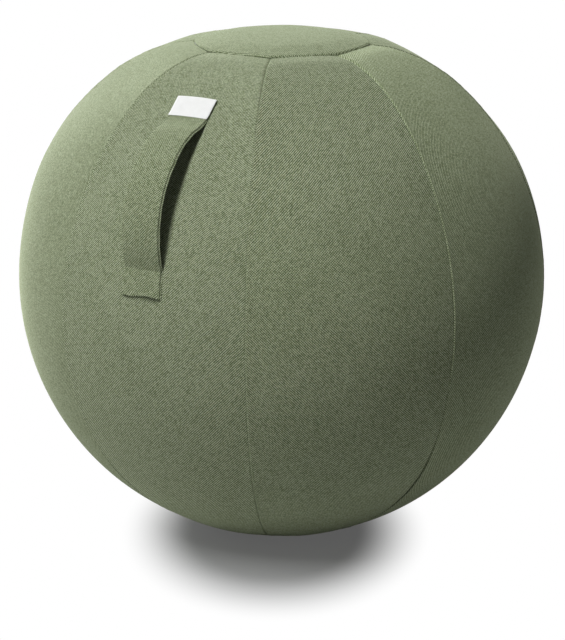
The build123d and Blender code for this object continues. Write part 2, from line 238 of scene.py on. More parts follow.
# Sewn edges: distances from the edge at which a panel has rows, the first two at a turned-in wall
EDGE = np.array([0.05, 0.05, 0.35, 0.75, 1.25, 1.9, 2.7, 4.0, 6.0, 9.0, 13.0]) * 1e-3
WALL_DEPTH = 0.0044
# Gathering: its waves (share, length, turn by seed, turn), its reach from a seam and its fading at the edge
PUCKER_WAVES = [(0.5, 0.0117, 1.7, 0.0), (0.3, 0.0191, 2.9, 1.0), (0.4, 0.0433, 4.3, 2.0)]
PUCKER_REACH = 0.008
PUCKER_FADE = 0.0006
# Seeds of the round seams at the cap and the base, where the meridian seams have 0 to 7
CAP_SEED = 11
BASE_SEED = 13
# Painted shade: how much darker the cloth is painted down in a seam, where shade falls, and the shade
# painted on a turned-in wall
SEAM_PAINTED_SHADE = 0.8
WALL_PAINTED_SHADE = 0.06


def in_seam(distance, bottom=0.0003, top=0.0015):
    """1 down in a seam, 0 on the open cloth."""
    return 1 - smooth(distance, bottom, top)


def roll(distance, depth=0.0019, width=0.0027):
    """How far cloth drops as it turns into a seam."""
    return depth * np.clip(1 - distance / width, 0, 1) ** 2.0


def pucker(along, seed):
    """Uneven gathering along a seam, about -1 to 1."""
    return sum(
        share * np.sin(2 * pi * along / length + by_seed * seed + turn)
        for share, length, by_seed, turn in PUCKER_WAVES
    )


def gather(depth, distance, along, seed):
    """How far cloth stands out where a seam gathers it, at a distance from that seam."""
    return depth * np.exp(-distance / PUCKER_REACH) * pucker(along, seed)


def store_cloth(mesh, weave, shade):
    """The cloth's own coordinates, and its painted shade and sheen, on each point."""
    kept = mesh.attributes.new("weave", "FLOAT_VECTOR", "POINT")
    kept.data.foreach_set("vector", weave.astype(np.float32).ravel())
    kept = mesh.attributes.new("shade", "FLOAT", "POINT")
    shade = np.ones(weave.shape[:-1]) if shade is None else shade
    kept.data.foreach_set("value", shade.astype(np.float32).ravel())


def grid_object(name, points, weave, shade=None, wrap=False, capped=False, thickness=None):
    """Mesh over a grid of points, with the cloth's own coordinates, in millimetres, on each of them.

    A wrapped grid joins its last column to its first, and a capped one has a flat face at both ends.
    """
    rows, columns = points.shape[:2]
    mesh = bpy.data.meshes.new(name)
    index = np.arange(rows * columns).reshape(rows, columns)
    right = np.roll(index, -1, axis=1) if wrap else index[:, 1:]
    left = index if wrap else index[:, :-1]
    faces = np.stack([left[:-1], right[:-1], right[1:], left[1:]], axis=-1).reshape(-1, 4).tolist()
    ends = [index[0][::-1].tolist(), index[-1].tolist()] if capped else []
    mesh.from_pydata(points.reshape(-1, 3).tolist(), [], faces + ends)
    store_cloth(mesh, weave, shade)
    mesh.polygons.foreach_set("use_smooth", [True] * len(faces) + [False] * len(ends))
    mesh.update()
    made = bpy.data.objects.new(name, mesh)
    scene.collection.objects.link(made)
    if thickness:
        solid = made.modifiers.new("thickness", "SOLIDIFY")
        solid.thickness = thickness
        solid.offset = -1
    return made


def seat(made, node, material):
    """A piece that stands for a CAD node and rides on the ball."""
    made.data.materials.append(material)
    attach(made, "ball")
    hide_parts(node)


# Materials


class Nodes:
    """Maker of the nodes and links of one node tree."""

    def __init__(self, tree):
        self.tree = tree

    def add(self, kind, **settings):
        """New node, with some of its settings."""
        made = self.tree.nodes.new(kind)
        for key, value in settings.items():
            setattr(made, key, value)
        return made

    def feed(self, socket, value):
        """Put a number or another node's output into a socket."""
        if isinstance(value, (int, float)):
            socket.default_value = value
        else:
            self.tree.links.new(value, socket)

    def attribute(self, name, output):
        """Output of a value stored on the mesh."""
        return self.add("ShaderNodeAttribute", attribute_name=name).outputs[output]

    def maths(self, operation, *values):
        """Output of a Math node, fed by numbers or outputs."""
        made = self.add("ShaderNodeMath", operation=operation)
        for socket, value in zip(made.inputs, values):
            self.feed(socket, value)
        return made.outputs[0]

    def split(self, vector):
        """The three parts of a vector."""
        made = self.add("ShaderNodeSeparateXYZ")
        self.feed(made.inputs[0], vector)
        return made.outputs

    def ramp(self, factor, stops):
        """Colour of a factor, by (place, colour) stops."""
        made = self.add("ShaderNodeValToRGB")
        elements = made.color_ramp.elements
        while len(elements) < len(stops):
            elements.new(0.5)
        for element, (place, colour) in zip(elements, stops):
            element.position = place
            element.color = (*colour, 1)
        self.feed(made.inputs[0], factor)
        return made.outputs[0]

    def noise(self, vector, scale, detail, output="Fac"):
        """A noise texture's value, about 0.5, or its colour."""
        made = self.add("ShaderNodeTexNoise")
        made.inputs["Scale"].default_value = scale
        made.inputs["Detail"].default_value = detail
        self.feed(made.inputs["Vector"], vector)
        return made.outputs[output]

    def uneven(self, value, cloud, amount):
        """A value with a noise added that is as often below it as above."""
        return self.maths("ADD", value, self.maths("MULTIPLY_ADD", cloud, amount, -amount / 2))

    def bump(self, shader, height, strength, depth):
        """Relief on a shader's surface."""
        made = self.add("ShaderNodeBump")
        made.inputs["Strength"].default_value = strength
        made.inputs["Distance"].default_value = depth
        self.feed(made.inputs["Height"], height)
        self.feed(shader.inputs["Normal"], made.outputs[0])

    def seen(self):
        """1 for the rays that show a white surrounding: to the eye, in gloss and through glass."""
        rays = self.add("ShaderNodeLightPath").outputs
        first = self.maths("MAXIMUM", rays["Is Camera Ray"], rays["Is Glossy Ray"])
        return self.maths("MAXIMUM", first, rays["Is Transmission Ray"])


def new_material(name):
    """Material with a Principled shader, as (material, maker of its nodes, shader)."""
    material = bpy.data.materials.new(name)
    material.use_nodes = True
    return material, Nodes(material.node_tree), material.node_tree.nodes["Principled BSDF"]


# Twill: a float's length in pitches, how fast drift, slubs and cloudy patches change per millimetre, and how
# much slubs and patches change the shade
DRIFT_SCALE = 0.045
FLOAT_LENGTH = 1.1
SLUB_SCALE = 0.55
PATCH_SCALE = 0.014
UNEVENNESS = 0.16


def cloth_material(name, stops, pitch, twill, speckle, bump_depth):
    """Twill of mixed yarns. The weave's third coordinate leans it from one diagonal to the other."""
    material, tree, shader = new_material(name)
    weave = tree.attribute("weave", "Vector")
    drifted = tree.add("ShaderNodeVectorMath", operation="MULTIPLY_ADD")
    tree.feed(drifted.inputs[0], tree.noise(weave, DRIFT_SCALE, 1.0, "Color"))
    drifted.inputs[1].default_value = (1.0, 1.0, 0)
    tree.feed(drifted.inputs[2], weave)
    across, along, lean = tree.split(drifted.outputs[0])
    waves, shades = [], []
    for slant, other in (("SUBTRACT", "ADD"), ("ADD", "SUBTRACT")):
        over = tree.maths("DIVIDE", tree.maths(slant, across, along), pitch * sqrt(2))
        down = tree.maths("DIVIDE", tree.maths(other, across, along), pitch * FLOAT_LENGTH)
        waves.append(tree.maths("SINE", tree.maths("MULTIPLY", over, 2 * pi)))
        # Each float of yarn has its own shade.
        yarn = tree.maths("FLOOR", tree.maths("MULTIPLY", over, 2))
        shift = tree.add("ShaderNodeTexWhiteNoise", noise_dimensions="1D")
        tree.feed(shift.inputs["W"], yarn)
        floats = tree.add("ShaderNodeCombineXYZ")
        tree.feed(floats.inputs[0], yarn)
        tree.feed(floats.inputs[1], tree.maths("FLOOR", tree.maths("ADD", down, shift.outputs[0])))
        shade = tree.add("ShaderNodeTexWhiteNoise", noise_dimensions="2D")
        tree.feed(shade.inputs["Vector"], floats.outputs[0])
        shades.append(shade.outputs[0])
    mixed = []
    for pair in (waves, shades):
        blend = tree.add("ShaderNodeMix")
        tree.feed(blend.inputs["Factor"], lean)
        tree.feed(blend.inputs["A"], pair[0])
        tree.feed(blend.inputs["B"], pair[1])
        mixed.append(blend.outputs[0])
    value = tree.maths("MULTIPLY_ADD", mixed[0], twill, 0.5)
    value = tree.uneven(value, mixed[1], speckle)
    value = tree.uneven(value, tree.noise(weave, SLUB_SCALE, 2.0), UNEVENNESS)
    value = tree.uneven(value, tree.noise(weave, PATCH_SCALE, 2.0), UNEVENNESS)
    # The colour is scaled by the shade stored on each point: painted shade in seams and under the strap, and
    # painted sheen on some gores' tops.
    shaded = tree.add("ShaderNodeVectorMath", operation="SCALE")
    tree.feed(shaded.inputs[0], tree.ramp(value, stops))
    tree.feed(shaded.inputs["Scale"], tree.attribute("shade", "Fac"))
    tree.feed(shader.inputs["Base Color"], shaded.outputs[0])
    tree.bump(shader, value, strength=0.5, depth=bump_depth)
    shader.inputs["Roughness"].default_value = 0.92
    shader.inputs["Specular IOR Level"].default_value = 0.15
    shader.inputs["Sheen Weight"].default_value = 0.40
    shader.inputs["Sheen Roughness"].default_value = 0.5
    shader.inputs["Sheen Tint"].default_value = (0.78, 0.86, 0.58, 1)
    return material


TAG_RIB = 0.7
TAG_WARP = 0.5


def tag_material():
    """White woven tape: fine ribs across, with a faint unevenness."""
    material, tree, shader = new_material("tag_cloth")
    weave = tree.attribute("weave", "Vector")
    across, along, _ = tree.split(weave)
    ribs = tree.maths("SINE", tree.maths("MULTIPLY", along, 2 * pi / TAG_RIB))
    warp = tree.maths("SINE", tree.maths("MULTIPLY", across, 2 * pi / TAG_WARP))
    value = tree.maths("MULTIPLY_ADD", tree.maths("MULTIPLY", ribs, warp), 0.20, 0.5)
    value = tree.uneven(value, tree.noise(weave, 0.12, 3.0), 0.5)
    stops = [(0.0, (0.74, 0.75, 0.74)), (0.6, (0.86, 0.87, 0.87)), (1.0, (0.93, 0.93, 0.93))]
    tree.feed(shader.inputs["Base Color"], tree.ramp(value, stops))
    tree.bump(shader, value, strength=0.35, depth=0.0001)
    shader.inputs["Roughness"].default_value = 0.55
    shader.inputs["Specular IOR Level"].default_value = 0.3
    return material


CLOUD_SCALE = 90.0
ROUGHNESS_RANGE = 0.24


def solid_material(name, colours, roughness, grain, metallic=0.0, wear=None):
    """Moulded plastic or painted metal: mottled colour and roughness, fine grain, and worn edges."""
    material, tree, shader = new_material(name)
    place = tree.add("ShaderNodeTexCoord").outputs["Object"]
    cloud = tree.noise(place, CLOUD_SCALE, 4.0)
    colour = tree.ramp(cloud, [(0.3, colours[0]), (0.7, colours[1])])
    if wear:
        edge = tree.add("ShaderNodeNewGeometry").outputs["Pointiness"]
        worn = tree.ramp(edge, [(0.52, (0, 0, 0)), (0.60, (1, 1, 1))])
        mixed = tree.add("ShaderNodeMix", data_type="RGBA")
        tree.feed(mixed.inputs["Factor"], tree.maths("MULTIPLY", worn, cloud))
        tree.feed(mixed.inputs["A"], colour)
        mixed.inputs["B"].default_value = (*wear, 1)
        colour = mixed.outputs["Result"]
    tree.feed(shader.inputs["Base Color"], colour)
    tree.feed(shader.inputs["Roughness"], tree.uneven(roughness, cloud, ROUGHNESS_RANGE))
    tree.bump(shader, tree.noise(place, grain, 2.0), strength=0.25, depth=0.0001)
    shader.inputs["Metallic"].default_value = metallic
    return material


GREEN_STOPS = [
    (0.0, (0.050, 0.068, 0.026)),
    (0.25, (0.112, 0.142, 0.064)),
    (0.5, (0.205, 0.248, 0.136)),
    (0.75, (0.335, 0.385, 0.245)),
    (1.0, (0.500, 0.550, 0.400)),
]
TAPE_STOPS = [
    (0.0, (0.018, 0.022, 0.012)),
    (0.5, (0.045, 0.055, 0.030)),
    (1.0, (0.095, 0.110, 0.070)),
]
cover_cloth = cloth_material("cover_cloth", GREEN_STOPS, 2.1, 0.66, 0.7, 0.00008)
strap_cloth = cloth_material("strap_cloth", GREEN_STOPS, 2.1, 0.66, 0.7, 0.00008)
tape_cloth = cloth_material("tape_cloth", TAPE_STOPS, 0.9, 0.30, 0.20, 0.0001)
tag_cloth = tag_material()
ball_plastic = solid_material("ball_plastic", [(0.27, 0.28, 0.29), (0.36, 0.37, 0.38)], 0.5, 900.0)
valve_plastic = solid_material("valve_plastic", [(0.78, 0.78, 0.76), (0.86, 0.86, 0.84)], 0.4, 1500.0)
teeth_plastic = solid_material("teeth_plastic", [(0.035, 0.042, 0.028), (0.06, 0.07, 0.05)], 0.35, 2500.0)
zip_paint = solid_material(
    "zip_paint",
    [(0.03, 0.032, 0.028), (0.055, 0.058, 0.05)],
    0.34,
    3000.0,
    metallic=0.6,
    wear=(0.42, 0.41, 0.38),
)


# Cover: eight gores, crowned between their seams, with the edges rolled in and a little gathered
GORE_COLUMNS = 24
GORE_ROWS = 192
LAYOUT_PASSES = 4
CROWN = 0.0012
CROWN_SET = 0.0004
LAP = 0.0008
LAP_SPAN = (0.001, 0.009)
LAP_LOST_AT_CAP = 0.6
CAP_SINK_REACH = 0.032
# How deep each meridian seam is drawn in at its foot
SEAM_PULL = [0.5, 0.1, 1.0, 0.6, 0.4, 0.6, 0.5, 0.7]
# How far each seam strays to the right of its meridian, low down on the ball
SEAM_WANDER = np.radians([-0.6, 0.0, 2.0, -0.8, 0.5, 0.0, -0.5, 0.7])
WANDER_RISE = (12, 44)
WANDER_FALL = (50, 68)
# Latitudes over which seams are drawn in and stand open, up towards the cap and down towards the base
CAP_PULLS = (36, 64)
BASE_PULLS = (26, 46)
CAP_OPENS = (40, 60)
BASE_OPENS = (20, 48)
CAP_OPENING = 0.0001
BASE_OPENING = 0.0021
# A seam's depth and width: the plain value, and what lying over, the cap's pull and the base's pull add
SEAM_DEPTH = (0.0006, 0.0004, 0.0012, 0.0002)
SEAM_WIDTH = (0.0016, -0.0004, 0.0014, -0.0003)
# Depths of the gathering at a gore's sides, top and foot, and how much more its sides have at their ends
SIDE_GATHER = 0.00016
TOP_GATHER = 0.00012
FOOT_GATHER = 0.00025
END_GATHER = 1.6
# Painted sheen: how much lighter each gore's top is painted, standing in for the sheen of its nap; a
# negative share paints it darker
NAP_PAINTED_SHEEN = [0.0, -0.04, 0.32, -0.14, 0.0, 0.1, 0.04, -0.02]
NAP_SHEEN_LATITUDES = (18, 50)
# How far each gore's twill leans to the other diagonal, at its top and lower down
LEAN = [(0.08, 0.15), (0.10, 0.80), (0.45, 0.55), (0.5, 0.5), (0.2, 0.6), (0.4, 0.4), (0.6, 0.3), (0.5, 0.5)]
LEAN_SOUTH = (-45, 10)
# Distance between the gores' places on the cloth, in millimetres
CUT_STEP = 400


def pull_of(gore, side):
    """How deep the seam on a side of a gore is drawn in at its foot. The left side is negative."""
    return np.where(side < 0, SEAM_PULL[gore], SEAM_PULL[(gore + 1) % GORES])


def seam_size(sizes, over, cap_pull, base_pull):
    """A seam's depth or width."""
    plain, by_over, by_cap, by_base = sizes
    return plain + by_over * over + by_cap * cap_pull + by_base * base_pull


def gore_layout(gore):
    """Lengths up the meridian, places across and angles from the middle, over a gore's grid.

    Also its half width, how far its seams stand open, and the distances from its foot and its top.
    """
    foot = SEAM_LENGTH + (ZIP_WINDOW if gore in ZIP_GORES else 0.0)
    inner_columns = np.linspace(-1, 1, GORE_COLUMNS)[1:-1]
    inner_rows = np.linspace(0, 1, GORE_ROWS)[1:-1, None]
    edge = np.ones(len(EDGE))
    inside = np.zeros(len(inner_columns))
    edge_side = np.concatenate([-edge, inside, edge])
    edge_distance = np.concatenate([EDGE, inside, EDGE[::-1]])
    share = np.pad(inner_columns, len(EDGE))
    columns = np.ones(len(share))
    low_rows = foot + np.outer(EDGE, columns)
    offset = np.linspace(-HALF_GORE, HALF_GORE, len(share))[None, :]
    for _ in range(LAYOUT_PASSES):
        top = length_at_rho(cap_radius_at(offset[-1]))
        high_rows = top - np.outer(EDGE[::-1], columns)
        inner = (1 - inner_rows) * low_rows[-1] + inner_rows * high_rows[0]
        length = np.concatenate([low_rows, inner, high_rows])
        rho = skin(length, np.zeros_like(length))[0]
        half_width = rho * HALF_GORE
        latitude = degrees_of(angle_at(length))
        opening = BASE_OPENING * pull_of(gore, edge_side) * smooth(-latitude, *BASE_OPENS)
        opening = opening + CAP_OPENING * smooth(latitude, *CAP_OPENS)
        opening[:, [0, -1]] = 0
        near_edge = edge_side * (half_width - edge_distance - opening)
        place = np.where(edge_side == 0, share * (half_width - EDGE[-1]), near_edge)
        offset = place / rho
    return length, place, offset, half_width, opening, length - foot, top[None, :] - length


def gore_points(gore):
    """Points of a gore's grid, its cloth's coordinates and painted shade and sheen there, and the area of
    its cut.
    """
    middle = radians(-90 + gore * 360 / GORES)
    length, place, offset, half_width, opening, from_foot, from_top = gore_layout(gore)
    from_side = half_width - np.abs(place)
    latitude = degrees_of(angle_at(length))
    seams = ((-1, gore), (1, (gore + 1) % GORES))
    # Seams lie nearly flush round the middle, and pull in towards the cap and the base.
    # A gore's left edge laps over its neighbour, and its right edge dips below the next gore.
    cap_pull = smooth(latitude, *CAP_PULLS)
    base_pull = pull_of(gore, place) * smooth(-latitude, *BASE_PULLS)
    over = np.where(place < 0, 1.0 - base_pull, base_pull)
    crown = CROWN * (1 - (place / half_width) ** 2) - CROWN_SET
    lap = LAP * over * (1 - LAP_LOST_AT_CAP * cap_pull) * (1 - smooth(from_side, *LAP_SPAN))
    depth = seam_size(SEAM_DEPTH, over, cap_pull, base_pull)
    width = seam_size(SEAM_WIDTH, over, cap_pull, base_pull)
    drop = np.maximum.reduce([roll(from_side - opening, depth, width), roll(from_foot), roll(from_top)])
    side_gather = SIDE_GATHER * (1 + END_GATHER * np.maximum(cap_pull, base_pull))
    gathered = np.zeros_like(length)
    for side, seam in seams:
        gathered += gather(side_gather, half_width - side * place, length, seam)
    around = (middle + offset) * CAP_RADIUS
    gathered += gather(TOP_GATHER, from_top, around, CAP_SEED)
    gathered += gather(FOOT_GATHER, from_foot, around, BASE_SEED)
    out = crown + lap - drop + gathered * np.clip(from_side / PUCKER_FADE, 0, 1)
    out = out - CAP_SINK * (1 - smooth(from_top, 0.0, CAP_SINK_REACH))
    wall = np.ones_like(length, dtype=bool)
    wall[1:-1, 1:-1] = False
    out = np.where(wall, -WALL_DEPTH, out)
    rho, height, angle = skin(length, out + swell(middle + offset, angle_at(length)))
    rho = rho * facet(offset, angle)
    azimuth = middle + offset
    for side, seam in seams:
        stray = SEAM_WANDER[seam] * between(-latitude, WANDER_RISE, WANDER_FALL)
        azimuth = azimuth + stray * (0.5 + 0.5 * side * place / half_width)
    points = round_axis(rho, azimuth, np.maximum(height, 0))
    top_lean, low_lean = LEAN[gore]
    lean = top_lean + (low_lean - top_lean) * smooth(-latitude, *LEAN_SOUTH)
    weave = np.stack([place * MILLIMETRES + CUT_STEP * gore, length * MILLIMETRES, lean], axis=-1)
    # Painted sheen lightens or darkens some gores' tops, standing in for their nap, and painted shade
    # darkens the cloth down in a seam.
    shade = 1 + NAP_PAINTED_SHEEN[gore] * smooth(latitude, *NAP_SHEEN_LATITUDES)
    shade = shade * (1 - SEAM_PAINTED_SHADE * base_pull * in_seam(from_side - opening))
    shade = shade * (1 - SEAM_PAINTED_SHADE * in_seam(from_foot))
    shade = np.where(wall, WALL_PAINTED_SHADE, shade)
    area = np.trapz(2 * half_width[:, 0], length[:, length.shape[1] // 2])
    return points, weave, shade, float(area)


for gore in range(GORES):
    points, weave, shade, area = gore_points(gore)
    panel = grid_object(f"cover_gore_{gore + 1}", points, weave, shade, thickness=CLOTH)
    seat(panel, f"gore_panel_{gore + 1}", cover_cloth)


# Discs: azimuths of their columns, from the front, and the shares of their rows inside the sewn edge
AROUND = 320
CAP_ROWS = 34
BASE_ROWS = 40
azimuths = np.arange(AROUND) * 2 * pi / AROUND - pi / 2
gore_offset = (azimuths + pi / 2 + HALF_GORE) % (2 * HALF_GORE) - HALF_GORE


def inner_shares(rows):
    """Shares from 1, at the innermost edge row, down to 0 at the middle, without the first."""
    return np.linspace(1, 0, rows + 1)[1:, None]


def plan_weave(rho, turn, place, lean):
    """Coordinates of a disc's cloth: its plan, turned and set apart on the cloth, and its twill's lean."""
    ways = np.stack([np.cos(azimuths + turn), np.sin(azimuths + turn)], axis=-1)
    plan = rho[..., None] * ways * MILLIMETRES
    return np.concatenate([plan + place, np.full(rho.shape + (1,), lean)], axis=-1)


# Top cap: a soft eight-cornered disc, a little proud of the gores, with its rim rolled under
CAP_SWELL = 0.0040
CAP_SWELL_RISE = (-0.012, 0.036)
CAP_DISH = 0.15
CAP_DISH_RISE = (0.03, 0.1)
CAP_RIM = 1.1
CAP_TUCK = 0.0016
CAP_TURN = radians(38)
CAP_PLACE = 700
CAP_LEAN = 0.5
cap_edge = cap_radius_at(gore_offset)
cap_rho = np.concatenate([cap_edge - EDGE[:, None], inner_shares(CAP_ROWS) * (cap_edge - EDGE[-1])])
cap_rho[-1] = POLE
cap_from_edge = cap_edge - cap_rho
cap_rho[0] -= CAP_TUCK
cap_swell = CAP_SWELL * smooth(cap_from_edge, *CAP_SWELL_RISE)
cap_swell = cap_swell * (1 - CAP_DISH * smooth(cap_from_edge, *CAP_DISH_RISE))
cap_gather = gather(TOP_GATHER, cap_from_edge, azimuths * CAP_RADIUS, CAP_SEED)
cap_gather = cap_gather * np.clip(cap_from_edge / PUCKER_FADE, 0, 1)
cap_out = CAP_PROUD - CAP_SINK + cap_swell - CAP_RIM * roll(cap_from_edge) + cap_gather
cap_out[0] = -WALL_DEPTH
cap_rho_out, cap_height, _ = skin(length_at_rho(cap_rho), cap_out)
cap_rho_out = np.where(cap_rho < NEAR_POLE, cap_rho, cap_rho_out)
cap_points = round_axis(cap_rho_out, azimuths, cap_height)
cap_weave = plan_weave(cap_rho, CAP_TURN, CAP_PLACE, CAP_LEAN)
cap = grid_object("cover_cap", cap_points, cap_weave, wrap=True, thickness=CAP_CLOTH)
seat(cap, "top_cap", cover_cloth)

# Base panel: flat where it meets the floor, with the zip's window in the rear part of its edge
WINDOW_END = (-0.8, 0.4)
BASE_WELT = 0.0005
BASE_WELT_RISE = (0.0, 0.01)
BASE_WELT_FALL = (0.01, 0.03)
BASE_GATHER = 0.0002
BASE_PLACE = 1500
BASE_LEAN = 0.4
from_rear = np.abs((np.degrees(azimuths) - 90 + 180) % 360 - 180)
window = ZIP_WINDOW * (1 - smooth(from_rear, ZIP_SPAN / 2 + WINDOW_END[0], ZIP_SPAN / 2 + WINDOW_END[1]))
base_edge = SEAM_LENGTH - window
base_inner = inner_shares(BASE_ROWS) * (base_edge - EDGE[-1] + BASE_FLAT) - BASE_FLAT
base_length = np.concatenate([base_edge - EDGE[:, None], base_inner])
base_length[-1] = POLE - BASE_FLAT
base_from_edge = base_edge - base_length
base_gather = gather(BASE_GATHER, base_from_edge, azimuths * BASE_SEAM_RADIUS, BASE_SEED)
base_gather = base_gather * np.clip(base_from_edge / PUCKER_FADE, 0, 1)
base_out = BASE_WELT * between(base_from_edge, BASE_WELT_RISE, BASE_WELT_FALL) - roll(base_from_edge)
base_out = base_out + base_gather
base_out[0] = -WALL_DEPTH
base_rho, base_height, _ = skin(base_length, np.where(base_length < 0, 0.0, base_out))
# Its columns run the other way, so that its faces look down.
base_points = round_axis(base_rho, azimuths, np.maximum(base_height, 0))[:, ::-1]
base_weave = plan_weave(base_rho, 0.0, BASE_PLACE, BASE_LEAN)[:, ::-1]
# Painted shade darkens the cloth down in the base seam.
base_shade = 1 - SEAM_PAINTED_SHADE * in_seam(base_from_edge)[:, ::-1]
base = grid_object("cover_base", base_points, base_weave, base_shade, wrap=True, thickness=CLOTH)
seat(base, "base_panel", cover_cloth)

# Carry strap: one band of folded cloth, from its tab, round the fold and the bow, to its upper end
STRAP_SEAT = BALL + STRAP_CLEARANCE + STRAP_THICKNESS / 2
BOW_DISTANCE = BALL + STRAP_BOW - BOW_RADIUS
bow_centre = polar(BOW_DISTANCE, BOW_LATITUDE)


def landing_angle(radius):
    """Angle at the ball's middle, from the bow's top to where an arc of this radius lands on the cover."""
    far = STRAP_SEAT + radius
    across = BOW_RADIUS + radius
    return degrees(acos((BOW_DISTANCE**2 + far**2 - across**2) / (2 * BOW_DISTANCE * far)))


fold_latitude = BOW_LATITUDE - landing_angle(FOLD_RADIUS)
lift_latitude = BOW_LATITUDE + landing_angle(RUN_OUT_RADIUS)
fold_centre = polar(STRAP_SEAT + FOLD_RADIUS, fold_latitude)
run_out_centre = polar(STRAP_SEAT + RUN_OUT_RADIUS, lift_latitude)
bow_low = bearing(bow_centre, fold_centre)
bow_high = bearing(bow_centre, run_out_centre)
# (centre, radius, first angle, last angle, 1 where it bows outward, steps)
STRAP_ARCS = [
    ((0.0, 0.0), STRAP_SEAT, TAB_END_LATITUDE, fold_latitude, 1, 26),
    (fold_centre, FOLD_RADIUS, fold_latitude + 180, bow_low + 180, -1, 14),
    (bow_centre, BOW_RADIUS, bow_low, bow_high, 1, 96),
    (run_out_centre, RUN_OUT_RADIUS, bow_high + 180, lift_latitude + 180, -1, 26),
    ((0.0, 0.0), STRAP_SEAT, lift_latitude, STRAP_END_LATITUDE, 1, 18),
]
line, facing = [], []
for centre, radius, first, last, side, steps in STRAP_ARCS:
    for angle in np.linspace(first, last, steps, endpoint=False):
        line.append(polar(radius, angle, centre))
        facing.append(angle if side > 0 else angle + 180)
line.append(polar(STRAP_SEAT, STRAP_END_LATITUDE))
facing.append(STRAP_END_LATITUDE)
line = np.array(line)
facing = np.radians(facing)
run = np.concatenate([[0.0], np.cumsum(np.hypot(*np.diff(line, axis=0).T))])
STRAP_LENGTH = float(run[-1])
TAB_LENGTH = STRAP_SEAT * radians(fold_latitude - TAB_END_LATITUDE)
# Lengths along the strap between which it comes to lie on the flatter gore, and leaves and meets the cover
SEWN_RISE = (STRAP_LENGTH - 0.052, STRAP_LENGTH - 0.026)
FREE_RISE = (TAB_LENGTH, TAB_LENGTH + 0.03)
FREE_FALL = (STRAP_LENGTH - 0.06, STRAP_LENGTH - 0.03)


def strap_points(rows, places, heights):
    """Points over some rows of the strap's line, by their places across and heights above the line."""
    rho = line[rows, 0, None] + heights * np.cos(facing[rows])[:, None]
    height = line[rows, 1, None] + heights * np.sin(facing[rows])[:, None]
    sewn = smooth(run[rows], *SEWN_RISE)[:, None]
    rho = rho * (1 + sewn * (facet(places / rho, np.arctan2(height, rho)) - 1))
    return np.stack([places, -rho, height + CENTRE_HEIGHT], axis=-1)


# Its section: a narrower layer on a wider one, with rounded edges and a groove between them
FACE_COLUMNS = 23
UPPER_INSET = 0.0018
UPPER_ROUND = [(0.0, 1.0), (0.55, 0.84), (0.9, 0.42), (1.0, 0.0), (0.85, -0.5)]
LOWER_ROUND = [(0.2, 0.55), (0.75, 0.42), (1.0, 0.0), (0.8, -0.6), (0.3, -1.0)]
# Height of a layer's middle, and its rounding's width and height
UPPER_LAYER = (0.0008, 0.0010, 0.0007)
LOWER_LAYER = (-0.0007, 0.0012, 0.0008)
# (inset from the upper layer's edge, height)
GROOVE = [(0.0014, 0.0004), (0.0012, -0.0004)]
UPPER_FACE_INSET = 0.0012
LOWER_FACE_INSET = 0.0014
# The lower face is painted dark: painted shade that deepens the shadow under the strap.
UNDERSIDE_HEIGHT = -0.0012
UNDERSIDE_PAINTED_SHADE = 0.15
half_width = STRAP_WIDTH / 2
half_thickness = STRAP_THICKNESS / 2
upper_half = half_width - UPPER_INSET


def rounded(edge, layer, outline):
    """Points of a layer's rounded edge, which reaches out to a place across the strap."""
    middle, width, height = layer
    return [(edge - width + width * x, middle + height * y) for x, y in outline]


right_edge = rounded(upper_half, UPPER_LAYER, UPPER_ROUND)
right_edge += [(upper_half - inset, height) for inset, height in GROOVE]
right_edge += rounded(half_width, LOWER_LAYER, LOWER_ROUND)
upper_face = np.linspace(-1, 1, FACE_COLUMNS) * (upper_half - UPPER_FACE_INSET)
lower_face = np.linspace(1, -1, FACE_COLUMNS) * (half_width - LOWER_FACE_INSET)
section = [(x, half_thickness) for x in upper_face] + right_edge
section += [(x, -half_thickness) for x in lower_face] + [(-x, y) for x, y in right_edge[::-1]]
section_x, section_y = np.array(section).T

# Its shape: wider at the tab, swaying (depth, pace, seed), bellied out where it is free, and gathered at its
# edges by their stitching
TAB_FLARE = 0.035
SWAYS = [(0.00035, 0.55, 3), (0.0002, 0.21, 5)]
STITCH_GATHER = 0.00025
STITCH_START = 0.02
STITCH_SEED = 7
DEEPEST_STITCH = -0.0002
BELLY = 0.0016
free = between(run, FREE_RISE, FREE_FALL)
flare = 1 + TAB_FLARE * (1 - smooth(run, 0.0, TAB_LENGTH))
sway = sum(depth * pucker(run * pace, seed) for depth, pace, seed in SWAYS)
places = section_x * flare[:, None] + sway[:, None]
across_share = np.abs(section_x) / half_width
stitch = STITCH_GATHER * pucker(run, STITCH_SEED) * smooth(run, 0.0, STITCH_START)
stitched = np.outer(stitch, across_share**6)
belly = np.outer(BELLY * free, 1 - across_share**2)
wrapped = np.outer(1 - free, section_x**2 / (2 * BALL))
heights = section_y + np.maximum(stitched, DEEPEST_STITCH) + belly - wrapped

# The tab's end is cut a little wavy, and lifts off the cover: (depth, reach, wave, turn) of both
TAB_LIFT = (0.0008, 0.012, 0.034, -0.6)
TAB_LIFT_RISE = (-0.026, 0.02)
TAB_CUT = (0.0014, 0.006, 0.046, 0.4)


def tab_waves(sizes, mean):
    """Shares of a wave that are left along the strap, from the tab's end, and the wave across it."""
    depth, reach, wave, turn = sizes
    return 1 - smooth(run, 0.0, reach), depth * (mean + np.sin(2 * pi * section_x / wave + turn))


tab_fade, tab_lift = tab_waves(TAB_LIFT, 1)
heights = heights + np.outer(tab_fade, tab_lift * smooth(section_x, *TAB_LIFT_RISE))
points = strap_points(np.arange(len(run)), places, heights)
points[..., 2] += np.outer(*tab_waves(TAB_CUT, 0))
middle_line = points[:, FACE_COLUMNS // 2]
cloth_run = np.concatenate([[0.0], np.cumsum(np.linalg.norm(np.diff(middle_line, axis=0), axis=1))])
